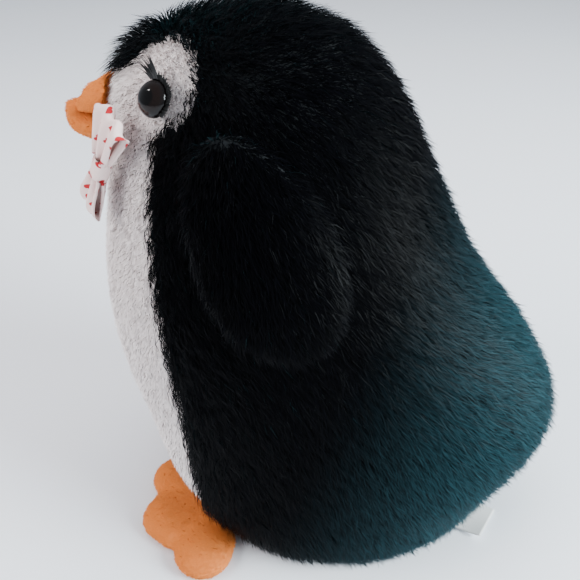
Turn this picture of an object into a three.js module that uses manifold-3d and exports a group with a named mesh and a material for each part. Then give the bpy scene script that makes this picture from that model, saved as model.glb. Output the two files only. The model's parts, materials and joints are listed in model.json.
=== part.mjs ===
// Plush penguin: black and white pile fabric sewn round a fibre filling, with felt beak and feet,
// safety eyes, eyelashes, a cotton bow and a blank care label. Millimetres, +Z up. The penguin
// faces -Y, its own left side is +X, and it rests on the flat base panel at z = 0.
import * as THREE from 'three';
import { ConvexGeometry } from 'three/addons/geometries/ConvexGeometry.js';
import { mergeVertices } from 'three/addons/utils/BufferGeometryUtils.js';
import loadManifold from 'manifold-3d';

const manifoldLibrary = await loadManifold();
manifoldLibrary.setup();
const { Manifold, Mesh } = manifoldLibrary;

// ---------------------------------------------------------------- driving dimensions
const GAP = 0.3;                    // air between touching pieces
const PLUSH = 4;                    // pile fabric with its pressed pile
const FELT = 1.8;                   // napped felt of beak and feet
const HEIGHT = 296;                 // base to crown

// Body sections from base to crown: height, reach forward, reach back, half width
const BODY_SECTIONS = [
  [0, 71, 95, 80],
  [12, 78, 102, 93],
  [36, 102, 114, 100],
  [75, 112, 135, 101],
  [120, 123, 113, 98],
  [165, 125, 77, 90],
  [204, 120, 56, 80],
  [228, 117, 44, 74],
  [250, 115, 33, 64],
  [270, 106, 19, 53],
  [286, 90, 0, 35],
  [HEIGHT, 49, -33, 8],
];
const SQUARENESS = 2.15;            // 2 would be an ellipse
const TAIL_TAPER = 0.2;             // how much the rump narrows to the back
const FACE_TAPER = 0.27;            // how much the head narrows to the beak
const BODY_LEVELS = 21;
const BODY_SIDES = 36;
const ROUND_SEGMENTS = 20;          // facets round the small turned pieces

// Seams seen from the side, as (y, z): the belly panel lies in front of its seam
const BELLY_SEAM = [[-62, -5], [-71, 60], [-71, 105], [-75, 138], [-80, 175], [-82, 215], [-79, 245]];
const FACE_SEAM = [
  [-84, 238], [-79, 246], [-71, 252], [-63, 257], [-59, 266], [-60, 276], [-65, 283], [-71, 284],
  [-79, 281], [-87, 277], [-92, 272], [-99, 266], [-160, 262], [-160, 226],
];
const GUSSET_HALF_WIDTH = 20;
const GUSSET_FRONT = -112;
const GUSSET_NAPE = 22;
const GUSSET_BOTTOM = 262;
const GUSSET_STEPS = 8;
const GUSSET_POINT = 0.08;          // how blunt its front end is
const GUSSET_FULLNESS = 0.7;

const EYE_AT = [-76, 264];          // y, z of each eye on the head
const EYE_RADIUS = 8;
const EYE_DOME = 6;
const EYE_RIM = 1;
const SHANK_RADIUS = 2.4;
const SHANK_LENGTH = 12;
const WASHER_RADIUS = 7;
const WASHER_THICKNESS = 1.6;
const WASHER_DEPTH = 7.4;
const WASHER_SLACK = 0.1;           // round the shank
const LASH_THICKNESS = 0.6;
const LASH_COUNT = 9;
const LASH_LENGTH = 9;
const LASH_INNER = 4;
const LASH_STRIP = 1;               // how far the strip shows past the eye's rim
const LASH_ARC = [130, 320];         // degrees round the eye, long lashes last

const BEAK_ROOT = -96;              // where the beak is sewn to the face
const UPPER_TIP = -129;
const LOWER_TIP = -135;
const MOUTH_HEIGHT = 245;
const MOUTH_DROP = 3;
const LIP_RISE = 2;
const CHIN_RISE = 7;
const FILL_SHORT = 7;               // the filling stops short of the beak's tip
const BEAK_TOP = 265;
const BEAK_BOTTOM = 228;
const BEAK_HALF_WIDTH = 20;
const BEAK_ROOT_FULLNESS = 1.02;    // widths and heights run as powers of the way to the tip
const BEAK_WIDTH_POWER = 2.4;
const BEAK_SLOPE = 0.9;
const BEAK_SLOPE_POWER = 2.2;
const CHIN_POWER = 1.5;
const BEAK_SIDE_POWER = 0.8;
const BEAK_TOP_POWER = 0.7;
const BEAK_THINNEST = 0.4;
const BEAK_RINGS = 9;
const BEAK_SIDES = 16;

const WING_CENTRE = [-29, 213];     // y, z
const WING_TILT = 27;               // degrees, lower end swept back
const WING_HALF_LENGTH = 50;
const WING_HALF_WIDTH = 30;
const WING_FLARE = 0.12;            // how much broader it grows towards its lower end
const WING_CLEARANCE = 1.5;
const WING_LINING = 2.5;
const WING_FILL = 4;
const WING_PLUSH = 3;
const FILL_SIZE = 0.9;              // the filling against the wing's outline
const FILL_EDGE = 0.4;

const HEEL = [45, -70];             // x, y of the left heel
const TOE_ANGLES = [-37, 28, 93];   // degrees from straight ahead, turning outward
const TOE_REACH = [30, 26, 35];
const TOE_RADIUS = 17;
const HEEL_RADIUS = 20;
const WEB_REACH = 14;
const WEB_RADIUS = 27;
const FOOT_HALF_HEIGHT = 8;
const FOOT_SEGMENTS = 16;
const FOOT_CLEARANCE = 1;           // between a foot's heel and the body
const FOOT_CENTRE_HEIGHT = 5;
const FOOT_HINGE = [57, -59.5];     // x, y of a point on the left foot's seam
const FOOT_HINGE_ANGLE = 38;        // degrees, the seam's direction in plan

const BOW_ON = [-101, 230];         // y, z of the knot on the left of the throat
const BOW_STAND_OFF = 6.8;          // the knot's middle out from the pile
const BOW_TILT = 68;                // degrees, upper loop raised from level
const BOW_HALF_LENGTH = 28;
const BOW_HALF_WIDTH = 13;
const BOW_THROAT_WIDTH = 5;
const BOW_CLOTH = 1;
const BOW_PUFF = 4.5;
const BOW_STEPS = 14;
const THROAT_PUFF = 0.25;           // the loop's puff at the knot against its fullest
const LOOP_SPREAD = 0.6;
const KNOT_HALF_LENGTH = 4.5;
const KNOT_RADIUS = 6.2;
const KNOT_END_RADIUS = 5.2;
const KNOT_CROWN = 2;               // half length of its fullest part
const KNOT_SIDES = 16;

const LABEL_SIZE = [22, 26, 0.8];
const LABEL_AT = [37.5, 92.5, 0.8];
const LABEL_TURN = 61;              // degrees in plan

// ---------------------------------------------------------------- geometry helpers
const radians = THREE.MathUtils.degToRad;
const smoothstep = THREE.MathUtils.smoothstep;
const FAR = 400;

function roundedPower(value, power) {
  return Math.sign(value) * Math.abs(value) ** power;
}

// Catmull-Rom curve through the rows of a list, at t from 0 to 1
function splineRow(rows, t) {
  const last = rows.length - 1;
  const index = Math.min(Math.floor(t * last), last - 1);
  const f = t * last - index;
  const [a, b, c, d] = [-1, 0, 1, 2].map((step) => rows[THREE.MathUtils.clamp(index + step, 0, last)]);
  return b.map((value, k) => value + 0.5 * f * (c[k] - a[k]
    + f * (2 * a[k] - 5 * value + 4 * c[k] - d[k] + f * (3 * (value - c[k]) + d[k] - a[k]))));
}

// A closed solid through rings of points, with a fan over each end
function loft(rings) {
  const sides = rings[0].length;
  const points = rings.flat();
  const faces = [];
  for (let level = 0; level < rings.length - 1; level += 1) {
    for (let side = 0; side < sides; side += 1) {
      const next = (side + 1) % sides;
      const low = level * sides;
      const high = low + sides;
      faces.push(low + side, low + next, high + next, low + side, high + next, high + side);
    }
  }
  const lastRing = (rings.length - 1) * sides;
  for (const [start, flip] of [[0, true], [lastRing, false]]) {
    const middle = new THREE.Vector3();
    for (let side = 0; side < sides; side += 1) {
      middle.addScaledVector(points[start + side], 1 / sides);
    }
    points.push(middle);
    for (let side = 0; side < sides; side += 1) {
      const a = start + side;
      const b = start + (side + 1) % sides;
      faces.push(points.length - 1, flip ? b : a, flip ? a : b);
    }
  }
  const geometry = new THREE.BufferGeometry().setFromPoints(points);
  geometry.setIndex(faces);
  return geometry;
}

function toManifold(geometry) {
  const bare = new THREE.BufferGeometry();
  bare.setAttribute('position', geometry.getAttribute('position'));
  if (geometry.index) {
    bare.setIndex(geometry.index);
  }
  const welded = mergeVertices(bare, 1e-4);
  return new Manifold(new Mesh({
    numProp: 3,
    vertProperties: new Float32Array(welded.getAttribute('position').array),
    triVerts: new Uint32Array(welded.index.array),
  }));
}

function toGeometry(solid) {
  const mesh = solid.getMesh();
  const geometry = new THREE.BufferGeometry();
  geometry.setAttribute('position', new THREE.BufferAttribute(new Float32Array(mesh.vertProperties), 3));
  geometry.setIndex(new THREE.BufferAttribute(new Uint32Array(mesh.triVerts), 1));
  geometry.computeVertexNormals();
  return geometry;
}

// An outline moved outward all round by the same distance, with its corners kept sharp
function grown(corners, distance) {
  const side = THREE.ShapeUtils.isClockWise(corners) ? -1 : 1;
  return corners.map((corner, index) => {
    const before = corners.at(index - 1);
    const after = corners[(index + 1) % corners.length];
    const [first, second] = [[before, corner], [corner, after]].map(([from, to]) => {
      const edge = to.clone().sub(from).normalize();
      return new THREE.Vector2(edge.y, -edge.x).multiplyScalar(side);
    });
    const share = distance / (1 + first.dot(second));
    return corner.clone().addScaledVector(first.clone().add(second), share);
  });
}

// A plate of an outline drawn in x and y, standing on z = 0
function plate(outline, thickness, grow = 0) {
  const corners = outline.map(([x, y]) => new THREE.Vector2(x, y));
  const shape = new THREE.Shape(grown(corners, grow));
  return new THREE.ExtrudeGeometry(shape, { depth: thickness, bevelEnabled: false });
}

// A prism across the whole body from an outline drawn in the side view, as (y, z)
function sidePrism(outline, grow = 0) {
  const upright = new THREE.Matrix4().set(0, 0, 1, -FAR, 1, 0, 0, 0, 0, 1, 0, 0, 0, 0, 0, 1);
  return toManifold(plate(outline, 2 * FAR, grow).applyMatrix4(upright));
}

// The right-hand twin of a left-hand shape, with its faces turned over to point out again
function mirrored(geometry) {
  const twin = mergeVertices(geometry.clone()).scale(-1, 1, 1);
  const order = twin.index.array;
  for (let corner = 0; corner < order.length; corner += 3) {
    [order[corner], order[corner + 1]] = [order[corner + 1], order[corner]];
  }
  return twin;
}

// ---------------------------------------------------------------- body surface
function bodySection(t, inset) {
  const [height, front, back, half] = splineRow(BODY_SECTIONS, t);
  return {
    height: inset + height * (HEIGHT - 2 * inset) / HEIGHT,
    front: front - inset,
    back: back - inset,
    half: half - inset,
  };
}

function taperAt(height, cosine) {
  const tail = TAIL_TAPER * (1 - smoothstep(height, 90, 215)) * (1 - cosine) / 2;
  const face = FACE_TAPER * smoothstep(height, 150, 262) * Math.max(cosine, 0) ** 1.5;
  return (1 - tail) * (1 - face);
}

function bodyPoint(section, angle) {
  const power = 2 / SQUARENESS;
  const middle = (section.back - section.front) / 2;
  const depth = (section.back + section.front) / 2;
  const width = section.half * taperAt(section.height, Math.cos(angle));
  return new THREE.Vector3(
    width * roundedPower(Math.sin(angle), power),
    middle - depth * roundedPower(Math.cos(angle), power),
    section.height,
  );
}

function bodySolid(inset) {
  const rings = [];
  for (let level = 0; level <= BODY_LEVELS; level += 1) {
    const section = bodySection(level / BODY_LEVELS, inset);
    const ring = [];
    for (let side = 0; side < BODY_SIDES; side += 1) {
      ring.push(bodyPoint(section, 2 * Math.PI * side / BODY_SIDES));
    }
    rings.push(ring);
  }
  return toManifold(loft(rings));
}

// Half width of the body at a point of the side view, by closing in on the section's height
function sideOfBody(y, z) {
  let low = 0;
  let high = 1;
  for (let step = 0; step < 30; step += 1) {
    const middle = (low + high) / 2;
    if (bodySection(middle, 0).height < z) {
      low = middle;
    } else {
      high = middle;
    }
  }
  const section = bodySection(low, 0);
  const middle = (section.back - section.front) / 2;
  const depth = (section.back + section.front) / 2;
  const cosine = roundedPower(THREE.MathUtils.clamp((middle - y) / depth, -1, 1), SQUARENESS / 2);
  const sine = Math.sqrt(1 - cosine * cosine);
  return section.half * taperAt(z, cosine) * sine ** (2 / SQUARENESS);
}

function sidePoint(y, z) {
  return new THREE.Vector3(sideOfBody(y, z), y, z);
}

function sideNormal(y, z) {
  const step = 2;
  const alongY = sidePoint(y + step, z).sub(sidePoint(y - step, z));
  const alongZ = sidePoint(y, z + step).sub(sidePoint(y, z - step));
  return alongY.cross(alongZ).normalize();
}

// ---------------------------------------------------------------- part list
const part = new THREE.Group();
part.name = 'plush_penguin';

const FINISHES = {
  black_plush: { color: 0x0d1418, roughness: 0.95 },
  white_plush: { color: 0xe8e2dc, roughness: 0.95 },
  orange_felt: { color: 0xd8843c, roughness: 0.9 },
  fibre_fill: { color: 0xf4f2ee, roughness: 1 },
  gloss_eye: { color: 0x140d0a, roughness: 0.08 },
  lock_washer: { color: 0xe6e6e0, roughness: 0.5 },
  black_lash: { color: 0x080808, roughness: 0.6 },
  heart_cotton: { color: 0xf3ebe4, roughness: 0.85 },
  label_satin: { color: 0xf6f6f4, roughness: 0.45 },
};

function addGeometry(name, geometry, finish) {
  const material = new THREE.MeshStandardMaterial({ ...FINISHES[finish], metalness: 0 });
  material.name = finish;
  const mesh = new THREE.Mesh(geometry, material);
  mesh.name = name;
  part.add(mesh);
}

function add(name, solid, finish) {
  addGeometry(name, toGeometry(solid), finish);
}

function addPair(name, leftSolid, finish) {
  const [piece, layer] = name;
  const ending = layer ? `_${layer}` : '';
  const left = toGeometry(leftSolid);
  addGeometry(`${piece}_left${ending}`, left, finish);
  addGeometry(`${piece}_right${ending}`, mirrored(left), finish);
}

// ---------------------------------------------------------------- body, belly, face and filling
const outerBody = bodySolid(0);
const shell = outerBody.subtract(bodySolid(PLUSH));
const aboveBase = shell.trimByPlane([0, 0, 1], PLUSH);
const leftOf = (solid, x) => solid.trimByPlane([1, 0, 0], x);

const bellyOutline = [...BELLY_SEAM, [-FAR, 245], [-FAR, -5]];
const gussetOutline = [];
for (const side of [1, -1]) {
  for (let step = 0; step <= GUSSET_STEPS; step += 1) {
    const along = side > 0 ? step / GUSSET_STEPS : 1 - step / GUSSET_STEPS;
    const turn = Math.PI * THREE.MathUtils.lerp(GUSSET_POINT, 1, along);
    const width = GUSSET_HALF_WIDTH * Math.max(Math.sin(turn), 0) ** GUSSET_FULLNESS;
    gussetOutline.push([side * width, THREE.MathUtils.lerp(GUSSET_FRONT, GUSSET_NAPE, along)]);
  }
}
const gussetPrism = (grow) => toManifold(
  plate(gussetOutline, FAR, grow).translate(0, 0, GUSSET_BOTTOM),
);

const faceGrown = sidePrism(FACE_SEAM, GAP);
const faceLeft = leftOf(aboveBase.intersect(sidePrism(FACE_SEAM)), GAP / 2);
const belly = aboveBase.intersect(sidePrism(bellyOutline)).subtract(faceGrown);
const gusset = aboveBase.intersect(gussetPrism(0)).subtract(faceGrown);
const sideLeft = leftOf(aboveBase, GAP / 2)
  .subtract(sidePrism(bellyOutline, GAP))
  .subtract(faceGrown)
  .subtract(gussetPrism(GAP));

const eyePoint = sidePoint(...EYE_AT);
const eyeNormal = sideNormal(...EYE_AT);
const eyeFrame = new THREE.Matrix4().compose(
  eyePoint,
  new THREE.Quaternion().setFromUnitVectors(new THREE.Vector3(0, 1, 0), eyeNormal),
  new THREE.Vector3(1, 1, 1),
);

const BORE_START = 2;               // how far outside the fabric a bore begins

function eyeBore(radius, depth) {
  const length = depth + BORE_START;
  const bore = new THREE.CylinderGeometry(radius, radius, length, ROUND_SEGMENTS);
  bore.translate(0, BORE_START - length / 2, 0);
  return bore.applyMatrix4(eyeFrame);
}

const shankBore = toManifold(eyeBore(SHANK_RADIUS + GAP, SHANK_LENGTH + GAP));
const leftPocket = toManifold(eyeBore(WASHER_RADIUS + 2 * GAP, SHANK_LENGTH + PLUSH));
const rightPocket = toManifold(mirrored(toGeometry(leftPocket)));
const stuffing = bodySolid(PLUSH + 2 * GAP).subtract(leftPocket).subtract(rightPocket);

add('base_panel', outerBody.trimByPlane([0, 0, -1], -(PLUSH - GAP)), 'black_plush');
add('belly_panel', belly, 'white_plush');
add('head_gusset', gusset, 'black_plush');
addPair(['side_panel'], sideLeft, 'black_plush');
addPair(['face_patch'], faceLeft.subtract(shankBore), 'white_plush');
add('body_stuffing', stuffing, 'fibre_fill');

// ---------------------------------------------------------------- eyes, washers and lashes
// Each is drawn round the Y axis with the fabric at y = 0, then set on the head
const outline = (points) => points.map(([x, y]) => new THREE.Vector2(x, y));

const eyeProfile = [[0, -SHANK_LENGTH], [SHANK_RADIUS, -SHANK_LENGTH]];
const eyeBase = LASH_THICKNESS + 2 * GAP;
eyeProfile.push([SHANK_RADIUS, eyeBase], [EYE_RADIUS, eyeBase]);
const DOME_STEPS = 6;
for (let step = 0; step <= DOME_STEPS; step += 1) {
  const turn = step / DOME_STEPS * Math.PI / 2;
  const radius = step === DOME_STEPS ? 0 : EYE_RADIUS * Math.cos(turn);
  const height = EYE_RIM + (EYE_DOME - EYE_RIM) * Math.sin(turn);
  eyeProfile.push([radius, eyeBase + height]);
}
const eye = new THREE.LatheGeometry(outline(eyeProfile), ROUND_SEGMENTS);

const washerTop = -WASHER_DEPTH;
const washerBottom = washerTop - WASHER_THICKNESS;
const washerBore = SHANK_RADIUS + WASHER_SLACK;
const washerProfile = [
  [washerBore, washerBottom], [WASHER_RADIUS, washerBottom], [WASHER_RADIUS, washerTop],
  [washerBore, washerTop], [washerBore, washerBottom],
];
const washer = new THREE.LatheGeometry(outline(washerProfile), ROUND_SEGMENTS);

// The lash strip is a crescent round the top and back of the eye, cut into a fringe
const lashOuter = EYE_RADIUS + LASH_STRIP;
const lashStart = radians(LASH_ARC[0]);
const lashEnd = radians(LASH_ARC[1]);
const lashOutline = [];
const LASH_STEPS = 2 * LASH_COUNT;
for (let step = 0; step <= LASH_STEPS; step += 1) {
  const turn = THREE.MathUtils.lerp(lashStart, lashEnd, step / LASH_STEPS);
  const longest = LASH_LENGTH * Math.sin(Math.PI * step / LASH_STEPS * 0.5);
  const reach = step % 2 === 1 ? lashOuter + longest : lashOuter;
  lashOutline.push([reach * Math.cos(turn), reach * Math.sin(turn)]);
}
for (let step = LASH_STEPS; step >= 0; step -= 3) {
  const turn = THREE.MathUtils.lerp(lashStart, lashEnd, step / LASH_STEPS);
  lashOutline.push([LASH_INNER * Math.cos(turn), LASH_INNER * Math.sin(turn)]);
}
const lash = plate(lashOutline, LASH_THICKNESS).rotateX(-Math.PI / 2).translate(0, GAP, 0);

addPair(['eye'], toManifold(eye.applyMatrix4(eyeFrame)), 'gloss_eye');
addPair(['eye_washer'], toManifold(washer.applyMatrix4(eyeFrame)), 'lock_washer');
addPair(['eyelash'], toManifold(lash.applyMatrix4(eyeFrame)), 'black_lash');

// ---------------------------------------------------------------- beak
// A half of the beak runs from root to tip; its height above and below closes in with the width
function beakHalf(tip, floorAt, roofAt, inset) {
  const rings = [];
  for (let step = 0; step <= BEAK_RINGS; step += 1) {
    const along = Math.sin(step / BEAK_RINGS * Math.PI / 2);
    const y = THREE.MathUtils.lerp(BEAK_ROOT, tip + inset, along);
    const floor = floorAt(along, y) + inset;
    const roof = roofAt(along, y) - inset;
    const share = Math.sqrt(BEAK_ROOT_FULLNESS - along ** BEAK_WIDTH_POWER);
    const width = Math.max(BEAK_THINNEST, (BEAK_HALF_WIDTH - inset) * share);
    const middle = (roof + floor) / 2;
    const tall = Math.max(BEAK_THINNEST, (roof - floor) / 2);
    const ring = [];
    for (let side = 0; side < BEAK_SIDES; side += 1) {
      const turn = 2 * Math.PI * side / BEAK_SIDES;
      const x = width * roundedPower(Math.cos(turn), BEAK_SIDE_POWER);
      const z = middle + tall * roundedPower(Math.sin(turn), BEAK_TOP_POWER);
      ring.push(new THREE.Vector3(x, y, z));
    }
    rings.push(ring);
  }
  return toManifold(loft(rings));
}

// The mouth line drops towards the tip, and the lower lip turns up in front of the upper one
function mouthAt(y) {
  const along = (y - BEAK_ROOT) / (UPPER_TIP - BEAK_ROOT);
  return MOUTH_HEIGHT - MOUTH_DROP * along ** 2;
}

const upperFloor = (along, y) => mouthAt(y) + GAP;
const upperRoof = (along) => THREE.MathUtils.lerp(
  BEAK_TOP,
  MOUTH_HEIGHT,
  BEAK_SLOPE * along ** BEAK_SLOPE_POWER,
);
const lowerFloor = (along) => BEAK_BOTTOM + CHIN_RISE * along ** CHIN_POWER;
const lowerRoof = (along, y) => (y < UPPER_TIP - 3 * GAP ? MOUTH_HEIGHT + LIP_RISE : mouthAt(y) - GAP);
const bodyClearance = bodySolid(-GAP);

function beakShellAndFill(tip, floorAt, roofAt) {
  const outside = beakHalf(tip, floorAt, roofAt, 0).subtract(bodyClearance);
  const hollow = beakHalf(tip, floorAt, roofAt, FELT);
  const fill = beakHalf(tip, floorAt, roofAt, FELT + GAP)
    .trimByPlane([0, 1, 0], UPPER_TIP + FILL_SHORT)
    .subtract(bodyClearance);
  return [outside.subtract(hollow), fill];
}

const [upperFelt, upperFill] = beakShellAndFill(UPPER_TIP, upperFloor, upperRoof);
const [lowerFelt, lowerFill] = beakShellAndFill(LOWER_TIP, lowerFloor, lowerRoof);
add('beak_upper', upperFelt, 'orange_felt');
add('beak_upper_filling', upperFill, 'fibre_fill');
add('beak_lower', lowerFelt, 'orange_felt');
add('beak_lower_filling', lowerFill, 'fibre_fill');

// ---------------------------------------------------------------- wings
// A layer of the wing lies over the side of the body, between two heights above it
const WING_RINGS = 4;
const WING_SIDES = 20;

function wingPoint(reach, turn, lift) {
  const tilt = radians(WING_TILT);
  const along = WING_HALF_LENGTH * reach * Math.cos(turn);
  const broad = 1 + WING_FLARE * Math.cos(turn);
  const across = WING_HALF_WIDTH * reach * broad * Math.sin(turn);
  const y = WING_CENTRE[0] + along * Math.sin(tilt) + across * Math.cos(tilt);
  const z = WING_CENTRE[1] - along * Math.cos(tilt) + across * Math.sin(tilt);
  return new THREE.Vector3(sideOfBody(y, z) + WING_CLEARANCE + lift, y, z);
}

function wingLayer(size, lowAt, highAt) {
  const rings = [];
  const push = (reach, lift) => {
    const ring = [];
    for (let side = 0; side < WING_SIDES; side += 1) {
      ring.push(wingPoint(size * reach, 2 * Math.PI * side / WING_SIDES, lift));
    }
    rings.push(ring);
  };
  for (let step = 1; step <= WING_RINGS; step += 1) {
    push(step / WING_RINGS, lowAt(step / WING_RINGS));
  }
  for (let step = WING_RINGS; step >= 1; step -= 1) {
    push(step / WING_RINGS, highAt(step / WING_RINGS));
  }
  return toManifold(loft(rings));
}

const puff = (reach) => WING_FILL * (1 - reach ** 3);
const fillBase = WING_LINING + GAP;
const coverBase = (reach) => fillBase + FILL_EDGE + 3 * GAP + puff(reach);
const lining = wingLayer(1, () => 0, () => WING_LINING);
const fillTop = (reach) => fillBase + FILL_EDGE + puff(reach * FILL_SIZE);
const filling = wingLayer(FILL_SIZE, () => fillBase, fillTop);
const cover = wingLayer(1, coverBase, (reach) => coverBase(reach) + WING_PLUSH);
addPair(['wing', 'lining'], lining, 'black_plush');
addPair(['wing', 'filling'], filling, 'fibre_fill');
addPair(['wing', 'outer'], cover, 'black_plush');

// ---------------------------------------------------------------- feet
function pointsOf(geometry) {
  const places = geometry.getAttribute('position');
  return Array.from({ length: places.count }, (_, index) => (
    new THREE.Vector3().fromBufferAttribute(places, index)
  ));
}

// Each toe is a rounded pad drawn out from the heel, and a web of the same height joins them
function footSolid(inset) {
  const pad = (x, y, radius) => new THREE.SphereGeometry(1, FOOT_SEGMENTS, FOOT_SEGMENTS / 2)
    .rotateX(Math.PI / 2)
    .scale(radius - inset, radius - inset, FOOT_HALF_HEIGHT - inset)
    .translate(x, y, FOOT_CENTRE_HEIGHT);
  const heel = pointsOf(pad(...HEEL, HEEL_RADIUS));
  const toes = TOE_ANGLES.map((angle, index) => {
    const x = HEEL[0] + TOE_REACH[index] * Math.sin(radians(angle));
    const y = HEEL[1] - TOE_REACH[index] * Math.cos(radians(angle));
    return toManifold(new ConvexGeometry([...heel, ...pointsOf(pad(x, y, TOE_RADIUS))]));
  });
  const seam = radians(FOOT_HINGE_ANGLE);
  const outward = [Math.sin(seam), -Math.cos(seam), 0];
  const reach = FOOT_HINGE[0] * outward[0] + FOOT_HINGE[1] * outward[1];
  const web = pad(HEEL[0] + WEB_REACH * outward[0], HEEL[1] + WEB_REACH * outward[1], WEB_RADIUS);
  return Manifold.union([...toes, toManifold(web)]).trimByPlane(outward, reach + FOOT_CLEARANCE + inset);
}

const footFloor = FELT + GAP;
const footOuter = footSolid(0);
const sole = footOuter.trimByPlane([0, 0, 1], 0).trimByPlane([0, 0, -1], -FELT);
const footTop = footOuter.trimByPlane([0, 0, 1], footFloor).subtract(footSolid(FELT));
const footFill = footSolid(FELT + GAP).trimByPlane([0, 0, 1], footFloor);
addPair(['foot', 'top'], footTop, 'orange_felt');
addPair(['foot', 'sole'], sole, 'orange_felt');
addPair(['foot', 'stuffing'], footFill, 'fibre_fill');

// ---------------------------------------------------------------- bow
// Drawn flat: x along the bow, y out of the throat, z across it, with the knot at the origin
const bowOut = sideNormal(...BOW_ON);
const bowLevel = new THREE.Vector3(0, 0, 1).cross(bowOut).normalize();
const bowAlong = bowLevel.clone().applyAxisAngle(bowOut, radians(BOW_TILT));
const bowFrame = new THREE.Matrix4().makeBasis(bowAlong, bowOut, bowAlong.clone().cross(bowOut));
bowFrame.setPosition(sidePoint(...BOW_ON).addScaledVector(bowOut, BOW_STAND_OFF));

function bowLoop(direction) {
  const start = KNOT_HALF_LENGTH + GAP;
  const length = BOW_HALF_LENGTH - start;
  const rings = [];
  for (let step = 0; step <= BOW_STEPS; step += 1) {
    const turn = Math.PI * step / BOW_STEPS;
    const along = Math.sin(turn);
    const x = start + length * along;
    const y = BOW_PUFF * Math.cos(turn) * THREE.MathUtils.lerp(THROAT_PUFF, 1, along);
    const width = THREE.MathUtils.lerp(BOW_THROAT_WIDTH, BOW_HALF_WIDTH, Math.sqrt(along));
    const outX = along * along;
    const outY = Math.cos(turn) * (1 - LOOP_SPREAD * along);
    const size = Math.hypot(outX, outY) || 1;
    const half = BOW_CLOTH / 2;
    rings.push([[1, -1], [1, 1], [-1, 1], [-1, -1]].map(([across, out]) => new THREE.Vector3(
      direction * (x + out * half * outX / size),
      y + out * half * outY / size,
      across * width,
    )));
  }
  const loop = loft(direction < 0 ? rings : rings.reverse());
  return toManifold(loop.applyMatrix4(bowFrame));
}

const knotProfile = [
  [0, -KNOT_HALF_LENGTH], [KNOT_END_RADIUS, -KNOT_HALF_LENGTH], [KNOT_RADIUS, -KNOT_CROWN],
  [KNOT_RADIUS, KNOT_CROWN], [KNOT_END_RADIUS, KNOT_HALF_LENGTH], [0, KNOT_HALF_LENGTH],
];
const knot = new THREE.LatheGeometry(outline(knotProfile), KNOT_SIDES).rotateZ(Math.PI / 2);
add('bow_loop_left', bowLoop(1), 'heart_cotton');
add('bow_loop_right', bowLoop(-1), 'heart_cotton');
add('bow_knot', toManifold(knot.applyMatrix4(bowFrame)), 'heart_cotton');

// ---------------------------------------------------------------- care label
const ribbon = new THREE.BoxGeometry(...LABEL_SIZE)
  .rotateZ(radians(LABEL_TURN))
  .translate(...LABEL_AT);
add('care_label', toManifold(ribbon).subtract(bodyClearance), 'label_satin');

// ---------------------------------------------------------------- origin at the base's middle
const box = new THREE.Box3().setFromObject(part);
const middle = box.getCenter(new THREE.Vector3());
part.position.set(-middle.x, -middle.y, -box.min.z);

export default part;
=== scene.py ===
import json
import math

import bmesh
import bpy
import numpy as np
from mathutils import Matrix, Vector
from mathutils.bvhtree import BVHTree


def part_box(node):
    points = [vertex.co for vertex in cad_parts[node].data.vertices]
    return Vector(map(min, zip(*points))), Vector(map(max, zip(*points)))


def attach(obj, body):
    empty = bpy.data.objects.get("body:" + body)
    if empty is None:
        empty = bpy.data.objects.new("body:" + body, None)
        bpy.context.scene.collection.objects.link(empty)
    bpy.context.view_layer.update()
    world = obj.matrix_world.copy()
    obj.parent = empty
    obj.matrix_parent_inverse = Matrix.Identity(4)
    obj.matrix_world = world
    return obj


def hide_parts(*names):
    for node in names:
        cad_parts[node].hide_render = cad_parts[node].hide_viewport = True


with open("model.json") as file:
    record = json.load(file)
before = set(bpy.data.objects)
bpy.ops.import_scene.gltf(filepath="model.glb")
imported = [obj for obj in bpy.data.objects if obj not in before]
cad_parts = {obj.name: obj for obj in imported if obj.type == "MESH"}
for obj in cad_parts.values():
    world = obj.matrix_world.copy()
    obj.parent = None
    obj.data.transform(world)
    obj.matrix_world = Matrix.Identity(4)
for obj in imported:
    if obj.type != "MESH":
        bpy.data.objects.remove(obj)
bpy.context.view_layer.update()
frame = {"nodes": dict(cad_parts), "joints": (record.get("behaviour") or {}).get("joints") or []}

# Camera. It looks at the toy's left side from close by and a little above, so that the head is
# cropped by the top of the view and the table fills the background.
CAMERA_AZIMUTH = math.radians(95)
CAMERA_ELEVATION = math.radians(34)
CAMERA_DISTANCE = 0.3896
CAMERA_VIEW = math.radians(46)
AIM = Vector((0.0, -0.0237, 0.140))

camera_data = bpy.data.cameras.new("camera")
camera_data.angle = CAMERA_VIEW
camera = bpy.data.objects.new("camera", camera_data)
bpy.context.scene.collection.objects.link(camera)
outward = Vector((
    math.sin(CAMERA_AZIMUTH) * math.cos(CAMERA_ELEVATION),
    -math.cos(CAMERA_AZIMUTH) * math.cos(CAMERA_ELEVATION),
    math.sin(CAMERA_ELEVATION),
))
camera.location = AIM + outward * CAMERA_DISTANCE
camera.rotation_mode = "QUATERNION"
camera.rotation_quaternion = (-outward).to_track_quat("-Z", "Y")
bpy.context.scene.camera = camera

# Table. A plain pale top, wide enough to fill the view, laid level with the toy's base.
TABLE_SIZE = 60.0


def new_object(name, mesh):
    made = bpy.data.objects.new(name, mesh)
    bpy.context.scene.collection.objects.link(made)
    return made


def mesh_object(name, vertices, faces, smooth=True):
    mesh = bpy.data.meshes.new(name)
    mesh.from_pydata([tuple(v) for v in vertices], [], [tuple(f) for f in faces])
    mesh.update()
    mesh.polygons.foreach_set("use_smooth", [smooth] * len(mesh.polygons))
    return new_object(name, mesh)


def mix_node(group, factor, first, second):
    """A colour mix. The factor and the colours are sockets or plain values."""
    node = group.nodes.new("ShaderNodeMix")
    node.data_type = "RGBA"
    for socket, value in zip((node.inputs[0], node.inputs[6], node.inputs[7]), (factor, first, second)):
        if isinstance(value, (int, float, tuple)):
            socket.default_value = value
        else:
            group.links.new(value, socket)
    return node.outputs[2]


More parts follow.
